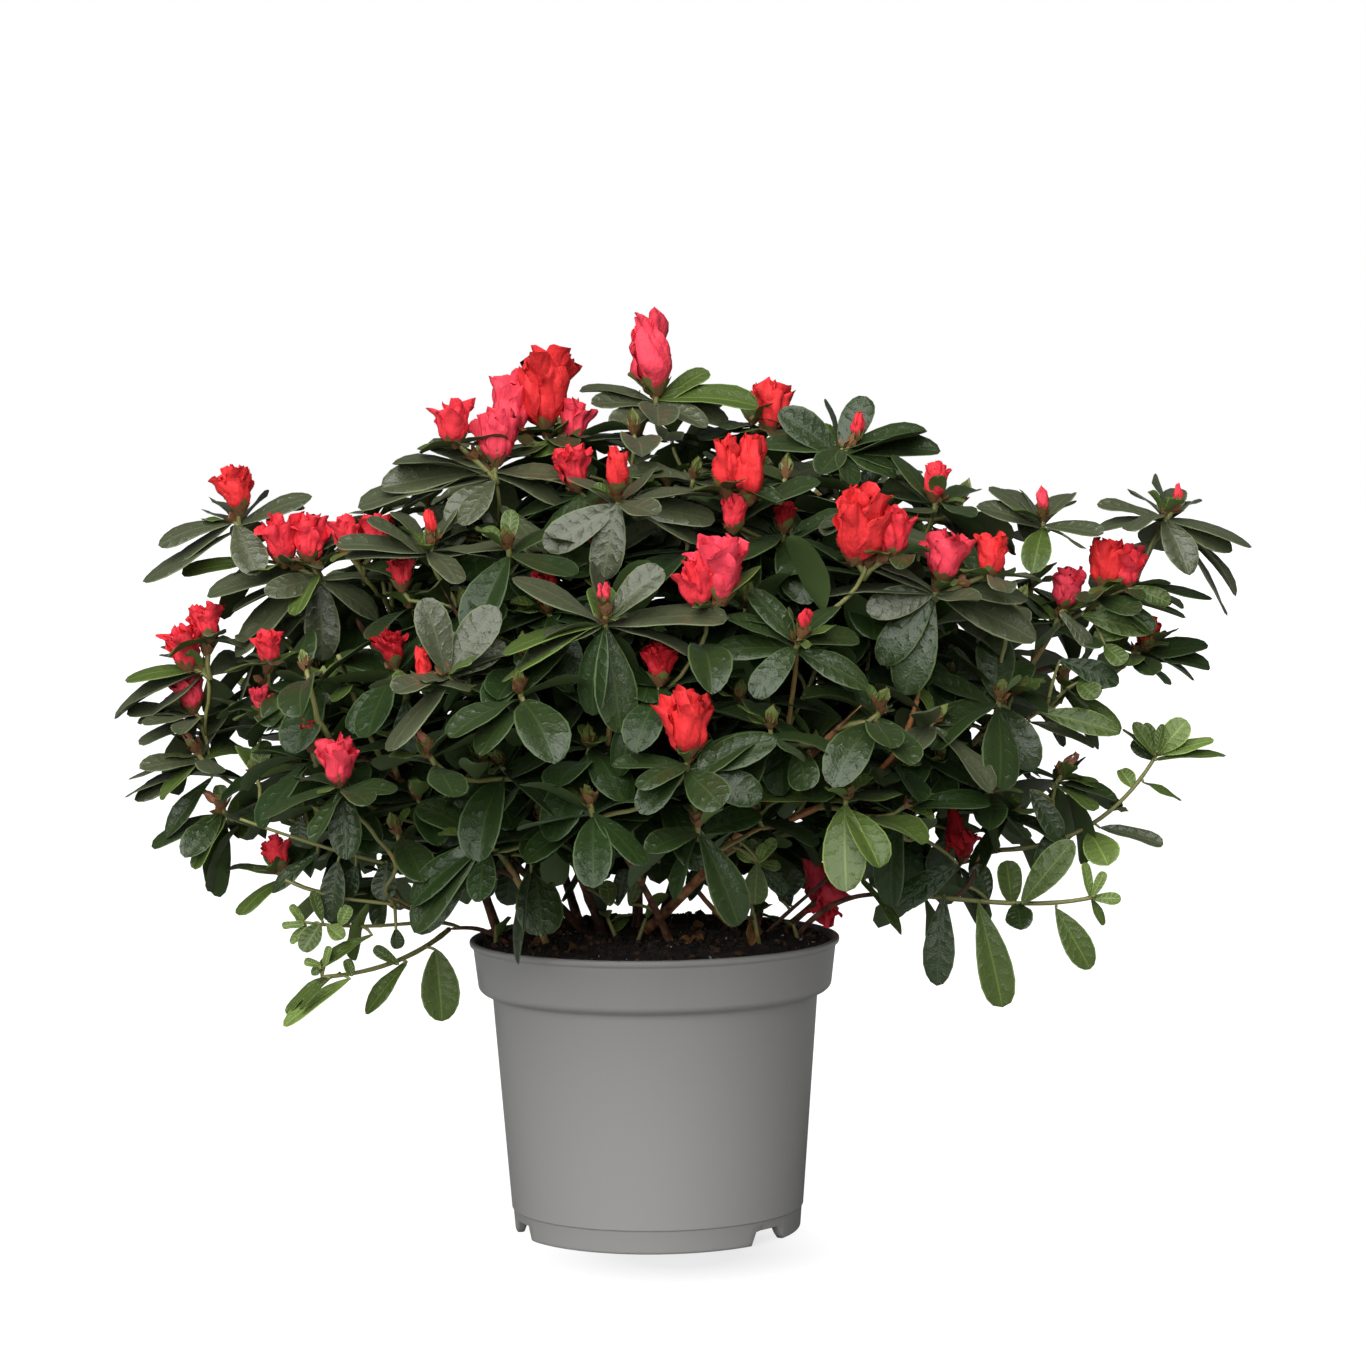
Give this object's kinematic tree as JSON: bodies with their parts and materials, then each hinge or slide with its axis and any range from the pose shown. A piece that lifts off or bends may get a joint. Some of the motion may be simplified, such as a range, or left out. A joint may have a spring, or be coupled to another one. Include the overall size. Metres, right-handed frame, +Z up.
{
  "type": "potted azalea shrub",
  "caption": "Broad, dome-shaped evergreen azalea in a round nursery pot, with buds and ruffled red blossom, standing on the pot's flat base.",
  "frame": {"origin": "centre of the flat underside of the pot", "axes": "+Z up, +X towards the plant's right-hand side as seen from the front, -Y towards the front"},
  "size_m": [0.4509, 0.3848, 0.3723],
  "materials": {
    "leaf": "dark green foliage, slightly glossy above",
    "bloom": "soft red petals",
    "twig": "young green-brown shoots",
    "bark": "rough brown bark",
    "pot": "matt grey plastic",
    "soil": "dark crumbly peat"
  },
  "bodies": {
    "root": {"bough_back": "bark", "bough_back_left": "bark", "bough_back_right": "bark", "bough_front": "bark", "bough_front_left": "bark", "bough_front_right": "bark", "bough_leaning_right": "bark", "bough_left": "bark", "bough_left_edge": "bark", "bough_low_left": "bark", "bough_low_right": "bark", "bough_middle": "bark", "bough_right": "bark", "bough_right_edge": "bark", "crown_0": "leaf", "crown_1": "leaf", "crown_2": "leaf", "crown_3": "leaf", "flank_0": "leaf", "flank_1": "leaf", "flank_2": "leaf", "flank_3": "leaf", "flank_4": "leaf", "flank_5": "leaf", "flank_6": "leaf", "flank_7": "leaf", "pot": "pot", "root_ball": "soil", "shoot_left": "leaf", "shoot_lower_left": "leaf", "shoot_lower_right": "leaf", "shoot_outer_right": "leaf", "shoot_right": "leaf", "shoot_upper_left": "leaf", "shoot_upper_right": "leaf", "shoulder_0": "leaf", "shoulder_1": "leaf", "shoulder_2": "leaf", "shoulder_3": "leaf", "shoulder_4": "leaf", "shoulder_5": "leaf", "shoulder_6": "leaf", "skirt_0": "leaf", "skirt_1": "leaf", "skirt_2": "leaf", "skirt_3": "leaf", "skirt_4": "leaf", "skirt_5": "leaf", "skirt_6": "leaf", "top": "leaf", "top_left": "leaf", "top_right": "leaf"}
  },
  "joints": []
}
